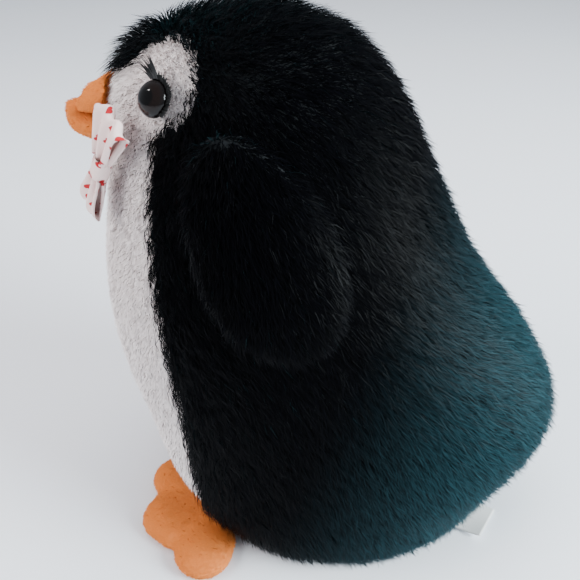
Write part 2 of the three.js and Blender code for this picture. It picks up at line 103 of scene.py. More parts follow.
def principled(name, **sockets):
    """A new material and its Principled shader, with plain values on the shader's own sockets."""
    material = bpy.data.materials.new(name)
    material.use_nodes = True
    shader = material.node_tree.nodes["Principled BSDF"]
    for socket, value in sockets.items():
        shader.inputs[socket.replace("_", " ")].default_value = value
    return material, shader


def noise_material(name, dark, light, scale, depth, **sockets):
    """A matt material with a fine mottled colour and a slight surface grain."""
    material, shader = principled(name, **sockets)
    tree = material.node_tree
    place = tree.nodes.new("ShaderNodeTexCoord")
    noise = tree.nodes.new("ShaderNodeTexNoise")
    noise.inputs["Scale"].default_value = scale
    noise.inputs["Detail"].default_value = 4.0
    tree.links.new(place.outputs["Object"], noise.inputs["Vector"])
    tree.links.new(mix_node(tree, noise.outputs["Fac"], dark, light), shader.inputs["Base Color"])
    grain = tree.nodes.new("ShaderNodeBump")
    grain.inputs["Strength"].default_value = 0.5
    grain.inputs["Distance"].default_value = depth
    tree.links.new(noise.outputs["Fac"], grain.inputs["Height"])
    tree.links.new(grain.outputs["Normal"], shader.inputs["Normal"])
    return material


edge = TABLE_SIZE / 2
table = mesh_object(
    "table", [(-edge, -edge, 0), (edge, -edge, 0), (edge, edge, 0), (-edge, edge, 0)], [(0, 1, 2, 3)],
)
table.data.materials.append(noise_material(
    "table_top", (0.79, 0.81, 0.86, 1), (0.82, 0.84, 0.89, 1), 3, 0.0001, Roughness=0.9,
))

# Light. A broad window behind the toy's back, which makes the long pile glint along the back and
# rump, broad fills from the front and overhead that keep the white front soft, and two small lamps
# that glint in the eyes.
def soft_light(name, place, size, watts, colour, glints=True):
    light = bpy.data.lights.new(name, "AREA")
    light.shape = "DISK"
    light.size = size
    light.energy = watts
    light.color = colour
    lamp = new_object(name, light)
    lamp.location = place
    lamp.rotation_mode = "QUATERNION"
    lamp.rotation_quaternion = (AIM - Vector(place)).to_track_quat("-Z", "Y")
    lamp.visible_glossy = glints


soft_light("window", (0.45, 1.30, 0.75), 0.9, 74, (0.86, 0.97, 1.0))
soft_light("front_fill", (0.7, -1.3, 1.0), 1.2, 27, (1.0, 0.95, 0.93), glints=False)
soft_light("overhead", (-0.3, 0.1, 1.6), 1.2, 20, (0.97, 0.98, 1.0), glints=False)
soft_light("lamp", (0.14, -0.80, 1.03), 0.07, 1.6, (1.0, 0.98, 0.96))
soft_light("small_lamp", (0.02, -0.92, 0.98), 0.04, 0.5, (1.0, 0.98, 0.96))
world = bpy.data.worlds.new("room")
world.use_nodes = True
world.node_tree.nodes["Background"].inputs["Color"].default_value = (0.82, 0.88, 0.97, 1)
world.node_tree.nodes["Background"].inputs["Strength"].default_value = 0.68
bpy.context.scene.world = world

# Stuffed body. The sewn panels round their fibre filling, taken as one soft form and drawn in to
# the knitted backing of the plush, which is where the pile starts.
SKIN_DEPTH = 0.0045
SKIN_CELL = 0.0045
SKIN_SOFTENING = 12
FLOOR_GAP = 0.0006
BASE_ROLL = 0.014
BLACK_PANELS = ["side_panel_left", "side_panel_right", "head_gusset", "base_panel"]
WHITE_PANELS = ["belly_panel", "face_patch_left", "face_patch_right"]
PANELS = BLACK_PANELS + WHITE_PANELS


def vertex_arrays(mesh):
    """The places and normals of a mesh's vertices, as two arrays of rows."""
    places = np.empty(len(mesh.vertices) * 3)
    normals = np.empty(len(mesh.vertices) * 3)
    mesh.vertices.foreach_get("co", places)
    mesh.vertices.foreach_get("normal", normals)
    return places.reshape(-1, 3), normals.reshape(-1, 3)


def soft_form(name, nodes, cell, softening, depth, extra=()):
    """One closed soft mesh round the CAD nodes: joined, remeshed, smoothed and drawn in."""
    joined = bmesh.new()
    for source in [frame["nodes"][node].data for node in nodes] + list(extra):
        joined.from_mesh(source)
    mesh = bpy.data.meshes.new(name)
    joined.to_mesh(mesh)
    joined.free()
    form = new_object(name, mesh)
    weld = form.modifiers.new("weld", "REMESH")
    weld.mode = "VOXEL"
    weld.voxel_size = cell
    soften = form.modifiers.new("soften", "SMOOTH")
    soften.factor = 0.5
    soften.iterations = softening
    softened = bpy.data.meshes.new_from_object(
        form.evaluated_get(bpy.context.evaluated_depsgraph_get())
    )
    form.modifiers.clear()
    form.data = softened
    places, normals = vertex_arrays(softened)
    softened.vertices.foreach_set("co", (places - normals * depth).ravel())
    softened.update()
    softened.polygons.foreach_set("use_smooth", [True] * len(softened.polygons))
    return form


def node_tree(nodes):
    """A search tree over the triangles of several CAD nodes, and which node each triangle is of."""
    corners, triangles, owners = [], [], []
    for owner, node in enumerate(nodes):
        mesh = frame["nodes"][node].data
        mesh.calc_loop_triangles()
        start = len(corners)
        corners.extend(v.co.copy() for v in mesh.vertices)
        triangles.extend([start + i for i in t.vertices] for t in mesh.loop_triangles)
        owners.extend([owner] * len(mesh.loop_triangles))
    return BVHTree.FromPolygons(corners, triangles), np.array(owners)


def nearest_node(tree_and_owners, points):
    """For each point, the number of the CAD node that it is nearest to."""
    tree, owners = tree_and_owners
    return owners[[tree.find_nearest(Vector(p))[2] for p in points]]


skin = soft_form("skin", PANELS + ["body_stuffing"], SKIN_CELL, SKIN_SOFTENING, SKIN_DEPTH)
places, _ = vertex_arrays(skin.data)
low = np.clip(1 - (places[:, 2] - places[:, 2].min()) / BASE_ROLL, 0, 1)
places[:, 2] -= (places[:, 2].min() - FLOOR_GAP) * low
skin.data.vertices.foreach_set("co", places.ravel())
skin.data.update()
panel_tree = node_tree(PANELS)

# Pile. The fibres of the plush: each is a tapering blade that leaves the backing, leans with the
# nap and gathers with its neighbours into small locks. The black pile is long and glossy, the
# white is short and soft, and each fibre has a shade of its own.
BLACK_PILE = {
    "length": 0.0118, "width": 0.00046, "density": 1.12, "lift": 0.66, "stray": 0.17,
    "lock": 0.0036, "gather": 0.34, "smooth": 0.55,
}
WHITE_PILE = {
    "length": 0.0043, "width": 0.00038, "density": 1.75, "lift": 0.85, "stray": 0.14,
    "lock": 0.0020, "gather": 0.03, "smooth": 0.985,
}
BODY_NAP = np.array([0.0, 0.62, -0.78])
BROW_NAP = np.array([0.0, -0.85, -0.53])
BROW = np.array([0.0, -0.104, 0.268])
BROW_REACH = 0.021
BROW_LONGER = 0.32
BASE_PILE_TOP = 0.002
BASE_PILE_SHARE = 0.2
BAKE_LAYER = "OFBake"


def unit(vectors):
    return vectors / np.maximum(np.linalg.norm(vectors, axis=1, keepdims=True), 1e-9)


def brow_share(points):
    """How much of the brow each point is in, from 0 to 1."""
    return np.exp(-(np.linalg.norm(points - BROW, axis=1) / BROW_REACH) ** 2)[:, None]


def body_nap(points):
    """Which way the pile is combed: back and down, but forward over the beak on the brow."""
    brow = np.minimum(brow_share(points) * 1.8, 1)
    return BODY_NAP * (1 - brow) + BROW_NAP * brow


def swirl(points, scale, seed):
    """A smooth value from -1 to 1 that wanders over space, for nap that isn't combed straight."""
    waves = np.random.default_rng(seed).normal(0, 1, (5, 4))
    total = sum(np.sin(points @ wave[:3] / scale + 6 * wave[3]) for wave in waves)
    return total / len(waves)


def scatter(form, per_square_mm, random, keep=None):
    """Random points over a mesh, with their normals. keep chooses triangles by their middles."""
    mesh = form.data
    mesh.calc_loop_triangles()
    index = np.empty(len(mesh.loop_triangles) * 3, int)
    mesh.loop_triangles.foreach_get("vertices", index)
    places, normals = (rows[index.reshape(-1, 3)] for rows in vertex_arrays(mesh))
    if keep is not None:
        kept = keep(places.mean(axis=1))
        places, normals = places[kept], normals[kept]
    sides = np.cross(places[:, 1] - places[:, 0], places[:, 2] - places[:, 0])
    area = np.linalg.norm(sides, axis=1) / 2
    count = int(area.sum() * 1e6 * per_square_mm)
    chosen = random.choice(len(area), count, p=area / area.sum())
    a, b = random.random((2, count))
    flip = a + b > 1
    a[flip], b[flip] = 1 - a[flip], 1 - b[flip]
    weights = np.stack([1 - a - b, a, b], axis=1)[:, :, None]
    return (places[chosen] * weights).sum(axis=1), unit((normals[chosen] * weights).sum(axis=1))


def comb_fibres(points, normals, nap, pile, random, seed):
    """The bend and tip of a fibre at each point, combed along the nap and gathered into locks."""
    count = len(points)
    comb = unit(nap - normals * (nap * normals).sum(axis=1, keepdims=True))
    turn = 0.45 * swirl(points, 0.022, seed) + random.normal(0, 0.22, count)
    comb = comb * np.cos(turn)[:, None] + np.cross(normals, comb) * np.sin(turn)[:, None]
    cells = np.floor((points + random.normal(0, 0.12, points.shape) * pile["lock"]) / pile["lock"])
    _, lock = np.unique(cells.astype(int), axis=0, return_inverse=True)
    lock = lock.ravel()
    share = np.bincount(lock)[:, None]
    middles = (np.stack([np.bincount(lock, points[:, k]) for k in range(3)], axis=1) / share)[lock]
    lean = random.normal(0, 0.13, (len(share), 3))[lock]
    rise = pile["lift"] + random.normal(0, pile["stray"], count) + 0.10 * swirl(points, 0.012, seed + 1)
    rise = np.clip(rise, 0.12, 1.3)
    reach = (pile["length"] * (0.70 + 0.45 * random.random(count)))[:, None]
    reach = reach * (1 + BROW_LONGER * brow_share(points))
    start = unit(normals * np.sin(rise * 1.25)[:, None] + comb * np.cos(rise * 1.25)[:, None])
    end = unit(normals * np.sin(rise * 0.5)[:, None] + comb * np.cos(rise * 0.5)[:, None] + lean)
    bend = points + start * reach * 0.5
    tip = bend + end * reach * 0.5
    pull = (middles - points) * pile["gather"]
    return bend + pull * 0.4, tip + pull


def pile_mesh(name, roots, bends, tips, normals, pile, random):
    """One mesh of tapering blades, a quad and a triangle each, with a shade for every fibre."""
    count = len(roots)
    side = unit(np.cross(tips - roots, normals + random.normal(0, 0.35, normals.shape)))
    half = side * (pile["width"] * (0.7 + 0.6 * random.random(count)))[:, None] / 2
    sunk = roots - normals * pile["width"]
    corners = np.stack([sunk - half, sunk + half, bends + half * 0.85, bends - half * 0.85, tips], axis=1)
    corners[:, :, 2] = np.maximum(corners[:, :, 2], FLOOR_GAP / 2)
    mesh = bpy.data.meshes.new(name)
    mesh.vertices.add(count * 5)
    mesh.vertices.foreach_set("co", corners.astype(np.float32).ravel())
    first = np.arange(count)[:, None] * 5
    loops = np.concatenate([first + [0, 1, 2, 3], first + [3, 2, 4]], axis=1).ravel()
    mesh.loops.add(count * 7)
    mesh.loops.foreach_set("vertex_index", loops.astype(np.int32))
    mesh.polygons.add(count * 2)
    starts = (np.arange(count)[:, None] * 7 + [0, 4]).ravel()
    mesh.polygons.foreach_set("loop_start", starts.astype(np.int32))
    mesh.update(calc_edges=True)
    along = mesh.attributes.new("along", "FLOAT", "POINT")
    along.data.foreach_set("value", np.tile([0, 0, 0.55, 0.55, 1], count).astype(np.float32))
    shade = mesh.attributes.new("shade", "FLOAT", "POINT")
    own = np.clip(0.5 + random.normal(0, 0.25, count), 0, 1)
    shade.data.foreach_set("value", np.repeat(own, 5).astype(np.float32))
    # A texture drawn on the pile keeps each fibre's own shade: one small cell of it per fibre
    cells = math.ceil(math.sqrt(count + 1))
    corner = np.stack([np.arange(count) % cells, np.arange(count) // cells], axis=1)[:, None]
    across = np.array([
        [0.2, 0.1], [0.8, 0.1], [0.8, 0.5], [0.2, 0.5], [0.2, 0.5], [0.8, 0.5], [0.5, 0.9],
    ])
    layer = mesh.uv_layers.new(name=BAKE_LAYER)
    layer.data.foreach_set("uv", ((corner + across) / cells).astype(np.float32).ravel())
    blade = unit(np.cross(half, tips - roots))
    soft = unit(blade * (1 - pile["smooth"]) + normals * pile["smooth"])
    mesh.polygons.foreach_set("use_smooth", [True] * (count * 2))
    mesh.normals_split_custom_set_from_vertices(np.repeat(soft, 5, axis=0).tolist())
    return mesh


def backing_mesh(name, form, owners, owner):
    """The part of a soft form that belongs to one panel."""
    cut = bmesh.new()
    cut.from_mesh(form.data)
    cut.faces.ensure_lookup_table()
    others = [f for f in cut.faces if owners[f.index] != owner]
    bmesh.ops.delete(cut, geom=others, context="FACES")
    mesh = bpy.data.meshes.new(name)
    cut.to_mesh(mesh)
    cut.free()
    # The plain backing takes the last small cell of the pile's texture
    layer = mesh.uv_layers.new(name=BAKE_LAYER)
    layer.data.foreach_set("uv", np.full(len(mesh.loops) * 2, 0.999, np.float32))
    return mesh


def plush_panel(name, body, nodes, form, owners, owner, pile_data, pile_look, back_look):
    """A panel of plush: its backing cut from the soft form, with the pile standing on it."""
    backing = new_object(name, backing_mesh(name, form, owners, owner))
    backing.data.materials.append(back_look)
    backing.data.polygons.foreach_set("use_smooth", [True] * len(backing.data.polygons))
    pile = new_object(name + "_pile", pile_data)
    pile_data.materials.append(pile_look)
    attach(backing, body)
    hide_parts(*nodes)
    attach(pile, body)
    pile.parent = backing
    return backing


def add_input(group, name, kind):
    return group.interface.new_socket(name, in_out="INPUT", socket_type="NodeSocket" + kind)


def add_output(group, name, kind):
    return group.interface.new_socket(name, in_out="OUTPUT", socket_type="NodeSocket" + kind)


def math_node(group, operation, *values):
    """A Math node. Each value is a number or the socket of another node."""
    node = group.nodes.new("ShaderNodeMath")
    node.operation = operation
    for socket, value in zip(node.inputs, values):
        if isinstance(value, (int, float)):
            socket.default_value = value
        else:
            group.links.new(value, socket)
    return node.outputs[0]


# The black pile's tips go from near black in front to a paler teal towards the back and lower down. This
# teal is a painted sheen of the window light behind the toy, on top of the real glint that the window
# gives.
PAINTED_SHEEN_SLANT = -0.35                 # how much being higher up counts as being further forward
PAINTED_SHEEN_FROM = -0.045
PAINTED_SHEEN_TO = 0.075


def make_pile_shading():
    """Colour of a pile fibre: a root darkened as painted shade, a tip lighter behind than in front as
    painted sheen, each of its own shade.
    """
    group = bpy.data.node_groups.new("pile_shading", "ShaderNodeTree")
    for name in ("Root", "Front Tip", "Painted Sheen Tip"):
        add_input(group, name, "Color")
    for name in ("Variation", "Painted Sheen Start", "Painted Sheen End"):
        add_input(group, name, "Float")
    add_output(group, "Colour", "Color")
    inside = group.nodes.new("NodeGroupInput").outputs
    outside = group.nodes.new("NodeGroupOutput").inputs
    along, shade = (group.nodes.new("ShaderNodeAttribute") for _ in range(2))
    along.attribute_name = "along"
    shade.attribute_name = "shade"
    place = group.nodes.new("ShaderNodeTexCoord")
    apart = group.nodes.new("ShaderNodeSeparateXYZ")
    group.links.new(place.outputs["Object"], apart.inputs[0])
    # How far back and down a point is, which sets how much painted sheen its tip takes.
    behind = group.nodes.new("ShaderNodeMapRange")
    behind.interpolation_type = "SMOOTHSTEP"
    backward = math_node(group, "MULTIPLY_ADD", apart.outputs[2], PAINTED_SHEEN_SLANT, apart.outputs[1])
    group.links.new(backward, behind.inputs[0])
    group.links.new(inside["Painted Sheen Start"], behind.inputs[1])
    group.links.new(inside["Painted Sheen End"], behind.inputs[2])
    tip = mix_node(group, behind.outputs[0], inside["Front Tip"], inside["Painted Sheen Tip"])
    # From root to tip: the darker root colour is painted shade down among the fibres.
    blend = mix_node(group, along.outputs["Fac"], inside["Root"], tip)
    centred = math_node(group, "SUBTRACT", shade.outputs["Fac"], 0.5)
    amount = math_node(group, "MULTIPLY_ADD", centred, inside["Variation"], 1.0)
    scaled = group.nodes.new("ShaderNodeVectorMath")
    scaled.operation = "SCALE"
    group.links.new(blend, scaled.inputs[0])
    group.links.new(amount, scaled.inputs["Scale"])
    group.links.new(scaled.outputs[0], outside["Colour"])
    return group


pile_shading = make_pile_shading()


# back is the tip colour where the painted sheen is full.
def pile_material(name, root, front, back, variation, **sockets):
    material, shader = principled(name, **sockets)
    node = material.node_tree.nodes.new("ShaderNodeGroup")
    node.node_tree = pile_shading
    node.inputs["Root"].default_value = root
    node.inputs["Front Tip"].default_value = front
    node.inputs["Painted Sheen Tip"].default_value = back
    node.inputs["Variation"].default_value = variation
    node.inputs["Painted Sheen Start"].default_value = PAINTED_SHEEN_FROM
    node.inputs["Painted Sheen End"].default_value = PAINTED_SHEEN_TO
    material.node_tree.links.new(node.outputs["Colour"], shader.inputs["Base Color"])
    return material


# Black pile: a near-black root darkened as painted shade among the fibres, a near-black tip in front, and
# a teal tip towards the back that is painted sheen.
black_pile = pile_material(
    "black_pile", (0.0005, 0.0007, 0.0011, 1), (0.0008, 0.0008, 0.0014, 1), (0.012, 0.042, 0.052, 1),
    1.4, Roughness=0.42, Specular_IOR_Level=0.035, Sheen_Weight=0.015, Sheen_Roughness=0.30,
    Sheen_Tint=(0.30, 0.78, 0.90, 1),
)
# White pile: the slightly darker root is painted shade among the fibres. The tip is the same in front and
# behind, with no painted sheen.
white_pile = pile_material(
    "white_pile", (0.87, 0.80, 0.79, 1), (0.89, 0.82, 0.81, 1), (0.89, 0.82, 0.81, 1),
    0.03, Roughness=0.95, Specular_IOR_Level=0.1,
)
black_backing = noise_material(
    "black_backing", (0.002, 0.003, 0.004, 1), (0.006, 0.008, 0.010, 1), 900, 0.0003, Roughness=0.95,
)
white_backing = noise_material(
    "white_backing", (0.84, 0.77, 0.76, 1), (0.88, 0.81, 0.80, 1), 900, 0.0003, Roughness=0.95,
)

skin_middles = np.array([p.center for p in skin.data.polygons])
skin_owners = nearest_node(panel_tree, skin_middles)
random = np.random.default_rng(11)
for pile, look, back_look, panels, slot in (
    (BLACK_PILE, black_pile, black_backing, BLACK_PANELS, "black_plush"),
    (WHITE_PILE, white_pile, white_backing, WHITE_PANELS, "white_plush"),
):
    front_only = (lambda middles: middles[:, 1] < -0.03) if pile is WHITE_PILE else None
    roots, normals = scatter(skin, pile["density"], random, front_only)
    raised = roots[:, 2] > BASE_PILE_TOP
    kept = raised | (random.random(len(roots)) < BASE_PILE_SHARE)
    roots, normals = roots[kept], normals[kept]
    bends, tips = comb_fibres(roots, normals, body_nap(roots), pile, random, 5)
    brow = np.minimum(brow_share(roots) * 2.2, 1)
    owners = nearest_node(panel_tree, tips * (1 - brow) + roots * brow)
    for panel in panels:
        mine = owners == PANELS.index(panel)
        data = pile_mesh(
            panel + "_pile", roots[mine], bends[mine], tips[mine], normals[mine], pile, random,
        )
        nodes = [panel, "body_stuffing"] if panel == "base_panel" else [panel]
        plush_panel(
            panel + "_plush", "body", nodes, skin, skin_owners, PANELS.index(panel),
            data, look, back_look,
        )
bpy.data.objects.remove(skin)

# Wings. Each is a flat oval bag of black plush, lined on the side against the body and thinly
# filled, with the pile combed towards its lower end. It hangs from a short seam at the top.
WING_CELL = 0.0024
WING_SOFTENING = 6
WING_DEPTH = 0.0022
WING_NAP = np.array([0.0, 0.454, -0.891])
WING_PILE = dict(BLACK_PILE, length=0.0105, lift=0.55, density=1.8)
LINING_PILE = dict(BLACK_PILE, length=0.0060, lift=0.35, density=1.5)

for side in ("left", "right"):
    names = [f"wing_{side}_outer", f"wing_{side}_lining"]
    solids = names + [f"wing_{side}_filling"]
    form = soft_form(f"wing_{side}", solids, WING_CELL, WING_SOFTENING, WING_DEPTH)
    tree = node_tree(names)
    form_owners = nearest_node(tree, np.array([p.center for p in form.data.polygons]))
    for owner, (name, pile) in enumerate(zip(names, (WING_PILE, LINING_PILE))):
        roots, normals = scatter(form, pile["density"], random)
        mine = nearest_node(tree, roots) == owner
        roots, normals = roots[mine], normals[mine]
        nap = np.tile(WING_NAP, (len(roots), 1))
        bends, tips = comb_fibres(roots, normals, nap, pile, random, 9)
        data = pile_mesh(name + "_pile", roots, bends, tips, normals, pile, random)
        nodes = [name, f"wing_{side}_filling"] if owner == 0 else [name]
        plush_panel(
            name + "_plush", f"wing_{side}", nodes, form, form_owners, owner,
            data, black_pile, black_backing,
        )
    bpy.data.objects.remove(form)

# Feet. Each is cut from short orange fleece, a sole and a top sewn edge to edge, stuffed firm and
# sewn into the front of the bottom seam, so that the toes can bend up.
FOOT_CELL = 0.0013
FOOT_SOFTENING = 7
FOOT_SEAM_HEIGHT = 0.0030
FOOT_SEAM_WIDTH = 0.0009
FOOT_SEAM_DEPTH = 0.0009
FLEECE = {
    "length": 0.0016, "width": 0.00030, "density": 3.2, "lift": 0.60, "stray": 0.20,
    "lock": 0.0012, "gather": 0.05, "smooth": 0.90,
}
FLEECE_NAP = np.array([0.0, -0.7, -0.7])

# The darker root of the fleece nap is painted shade among its fibres.
orange_fleece = pile_material(
    "orange_fleece", (0.60, 0.165, 0.030, 1), (0.78, 0.235, 0.045, 1), (0.78, 0.235, 0.045, 1),
    0.12, Roughness=0.9, Specular_IOR_Level=0.2,
)
orange_backing = noise_material(
    "orange_backing", (0.60, 0.165, 0.030, 1), (0.70, 0.21, 0.040, 1), 700, 0.0002, Roughness=0.95,
)


def fleece_piece(name, body, nodes, form, seed):
    """A stuffed piece of short fleece: the soft form itself, with a fuzz of fine fibres on it."""
    fuzz_random = np.random.default_rng(seed)
    roots, normals = scatter(form, FLEECE["density"], fuzz_random)
    nap = np.tile(FLEECE_NAP, (len(roots), 1))
    bends, tips = comb_fibres(roots, normals, nap, FLEECE, fuzz_random, seed)
    data = pile_mesh(name + "_nap", roots, bends, tips, normals, FLEECE, fuzz_random)
    whole = np.zeros(len(form.data.polygons), int)
    return plush_panel(
        name, body, nodes, form, whole, 0, data, orange_fleece, orange_backing,
    )


for seed, side in enumerate(("left", "right")):
    nodes = [f"foot_{side}_{part}" for part in ("top", "sole", "stuffing")]
    form = soft_form(f"foot_{side}", nodes, FOOT_CELL, FOOT_SOFTENING, -0.0002)
    places, normals = vertex_arrays(form.data)
    pinch = np.exp(-((places[:, 2] - FOOT_SEAM_HEIGHT) / FOOT_SEAM_WIDTH) ** 2) * FOOT_SEAM_DEPTH
    places[:, :2] -= normals[:, :2] * pinch[:, None]
    places[:, 2] = np.maximum(places[:, 2], FLOOR_GAP)
    form.data.vertices.foreach_set("co", places.ravel())
    form.data.update()
    fleece_piece(f"foot_{side}_fleece", f"foot_{side}", nodes, form, 40 + seed)
    bpy.data.objects.remove(form)

# Beak. An upper and a lower half of the same orange fleece, each lightly filled. The tip of the
# upper half is tucked in behind the thick rolled lip of the lower.
BEAK_CELL = 0.0012
BEAK_SOFTENING = 5
LIP_SWELLINGS = [
    # along from the lip's tip, up from the lower half's top, half width, half depth, half height
    (0.0065, -0.0050, 0.0085, 0.0058, 0.0056),
    (0.0120, -0.0085, 0.0110, 0.0070, 0.0060),
]
CHEEK_SWELLINGS = [(0.0150, -0.0120, 0.0110, 0.0120, 0.0085)]
BRIDGE_FLATTENING = 0.0014          # how far the cloth is drawn down midway along the bridge


def swellings(name, box, rows):
    """Rounded lumps placed from the front and top of a box, as the filling pushes the cloth out."""
    lumps = bmesh.new()
    for back, up, wide, deep, tall in rows:
        made = bmesh.ops.create_icosphere(lumps, subdivisions=3, radius=1.0)["verts"]
        for vertex in made:
            vertex.co = Vector((
                vertex.co.x * wide,
                box[0][1] + back + vertex.co.y * deep,
                box[1][2] + up + vertex.co.z * tall,
            ))
    mesh = bpy.data.meshes.new(name)
    lumps.to_mesh(mesh)
    lumps.free()
    return mesh


for seed, (half, rows) in enumerate((("lower", LIP_SWELLINGS), ("upper", CHEEK_SWELLINGS))):
    nodes = [f"beak_{half}", f"beak_{half}_filling"]
    lumps = swellings(f"beak_{half}_lumps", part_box(nodes[0]), rows)
    form = soft_form(f"beak_{half}", nodes, BEAK_CELL, BEAK_SOFTENING, 0.0002, [lumps])
    if half == "upper":
        places, _ = vertex_arrays(form.data)
        along, tall = ((places[:, k] - places[:, k].min()) / np.ptp(places[:, k]) for k in (1, 2))
        places[:, 2] -= BRIDGE_FLATTENING * 4 * along * (1 - along) * tall
        form.data.vertices.foreach_set("co", places.ravel())
        form.data.update()
    fleece_piece(f"beak_{half}_fleece", "body", nodes, form, 50 + seed)
    bpy.data.objects.remove(form)

# Eyes. Domed plastic safety eyes, a black pupil in a very dark brown iris, pushed through the face
# and held by a ribbed washer on the shank inside.
EYE_RADIUS = 0.0080
EYE_DOME = 0.0060
EYE_TURNS = 48
EYE_RINGS = 14
SHANK_RADIUS = 0.0024
SHANK_LENGTH = 0.0100
PUPIL_EDGE = (0.42, 0.52)           # where each colour gives way to the next, as shares of the radius
IRIS_EDGE = (0.74, 0.92)


def node_middle(node):
    return vertex_arrays(frame["nodes"][node].data)[0].mean(axis=0)


def eye_axes(side):
    """The eye's rim centre, and its outward, upward and backward directions."""
    eye_places = vertex_arrays(frame["nodes"][f"eye_{side}"].data)[0]
    axis = unit((node_middle(f"eye_{side}") - node_middle(f"eye_washer_{side}"))[None])[0]
    front = node_middle(f"eye_{side}")
    front = front + axis * (((eye_places - front) @ axis).max() - EYE_DOME)
    up = unit((np.array([0, 0, 1]) - axis * axis[2])[None])[0]
    back = np.cross(up, axis) * np.sign(axis[0])
    return front, axis, up, back


def make_eye_colours():
    """Colour of a safety eye by how far out from its middle: pupil, iris and dark edge."""
    group = bpy.data.node_groups.new("eye_colours", "ShaderNodeTree")
    for name in ("Pupil", "Iris", "Edge"):
        add_input(group, name, "Color")
    add_output(group, "Colour", "Color")
    inside = group.nodes.new("NodeGroupInput").outputs
    outside = group.nodes.new("NodeGroupOutput").inputs
    outness = group.nodes.new("ShaderNodeAttribute")
    outness.attribute_name = "outness"
    steps = []
    for start, end in (PUPIL_EDGE, IRIS_EDGE):
        step = group.nodes.new("ShaderNodeMapRange")
        step.interpolation_type = "SMOOTHSTEP"
        group.links.new(outness.outputs["Fac"], step.inputs[0])
        step.inputs[1].default_value = start
        step.inputs[2].default_value = end
        steps.append(step.outputs[0])
    iris = mix_node(group, steps[0], inside["Pupil"], inside["Iris"])
    group.links.new(mix_node(group, steps[1], iris, inside["Edge"]), outside["Colour"])
    return group


eye_gloss, eye_shader = principled("eye_gloss", Roughness=0.10, Specular_IOR_Level=0.20)
eye_colours = eye_gloss.node_tree.nodes.new("ShaderNodeGroup")
eye_colours.node_tree = make_eye_colours()
eye_colours.inputs["Pupil"].default_value = (0.0009, 0.0007, 0.0007, 1)
eye_colours.inputs["Iris"].default_value = (0.0045, 0.0023, 0.0018, 1)
eye_colours.inputs["Edge"].default_value = (0.004, 0.003, 0.003, 1)
eye_gloss.node_tree.links.new(eye_colours.outputs["Colour"], eye_shader.inputs["Base Color"])
washer_nylon = noise_material(
    "washer_nylon", (0.70, 0.70, 0.66, 1), (0.78, 0.78, 0.74, 1), 400, 0.0001, Roughness=0.5,
)

for side in ("left", "right"):
    front, axis, up, back = eye_axes(side)
    rise = np.linspace(math.pi / 2, 0, EYE_RINGS)
    profile = [(EYE_RADIUS * math.cos(a), EYE_DOME * math.sin(a)) for a in rise]
    profile += [(EYE_RADIUS * 0.97, -0.0006), (SHANK_RADIUS, -0.0010), (SHANK_RADIUS, -SHANK_LENGTH)]
    turns = np.arange(EYE_TURNS) * 2 * math.pi / EYE_TURNS
    across = np.cross(axis, up)
    vertices, outness = [], []
    for radius, height in profile:
        for turn in turns:
            spoke = up * math.cos(turn) + across * math.sin(turn)
            vertices.append(front + axis * height + spoke * radius)
            outness.append(radius / EYE_RADIUS if height >= 0 else 1.0)
    faces = []
    for ring in range(len(profile) - 1):
        for turn in range(EYE_TURNS):
            a, b = ring * EYE_TURNS + turn, ring * EYE_TURNS + (turn + 1) % EYE_TURNS
            faces.append((a, a + EYE_TURNS, b + EYE_TURNS, b))
    last = (len(profile) - 1) * EYE_TURNS
    faces.append(tuple(last + turn for turn in range(EYE_TURNS)))
    eye = mesh_object(f"eye_{side}_dome", vertices, faces)
    values = eye.data.attributes.new("outness", "FLOAT", "POINT")
    values.data.foreach_set("value", outness)
    eye.data.materials.append(eye_gloss)
    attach(eye, "body")
    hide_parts(f"eye_{side}")
    frame["nodes"][f"eye_washer_{side}"].data.materials.clear()
    frame["nodes"][f"eye_washer_{side}"].data.materials.append(washer_nylon)

# Eyelashes. A strip of black nylon bristle glued round the upper and outer rim of each eye. It is
# trimmed short down the back of the eye and left long over the top.
LASH_BASE_WIDTH = 0.0014
LASH_ROWS = 84
LASH_SEGMENTS = 5
LASH_FROM = math.radians(-42)
LASH_TO = math.radians(112)
LONG_LASHES_FROM = math.radians(84)
LASH_SHORT = 0.0036
LASH_LONG = 0.0120
LASH_THICKNESS = 0.00065
LONG_LASH_THICKER = 1.25
SHORT_LASH_LEAN = 0.25
LONG_LASH_LEAN = 0.60
LASH_TAPER = 0.85

lash_black = noise_material(
    "lash_black", (0.002, 0.002, 0.002, 1), (0.005, 0.005, 0.005, 1), 1200, 0.00003, Roughness=0.42,
)


def bristle(vertices, faces, line, thickness, across):
    """A square tapering bristle along a line of points, added to the lists of a mesh."""
    first = len(vertices)
    for step, place in enumerate(line):
        ahead = unit((line[min(step + 1, len(line) - 1)] - line[max(step - 1, 0)])[None])[0]
        half = thickness / 2 * (1 - LASH_TAPER * step / (len(line) - 1))
        other = np.cross(ahead, across)
        square = ((1, 1), (-1, 1), (-1, -1), (1, -1))
        vertices.extend(place + (across * a + other * b) * half for a, b in square)
    for step in range(len(line) - 1):
        for k in range(4):
            a, b = first + step * 4 + k, first + step * 4 + (k + 1) % 4
            faces.append((a, b, b + 4, a + 4))
    faces.append((first + 3, first + 2, first + 1, first))
    faces.append(tuple(len(vertices) - 4 + k for k in range(4)))


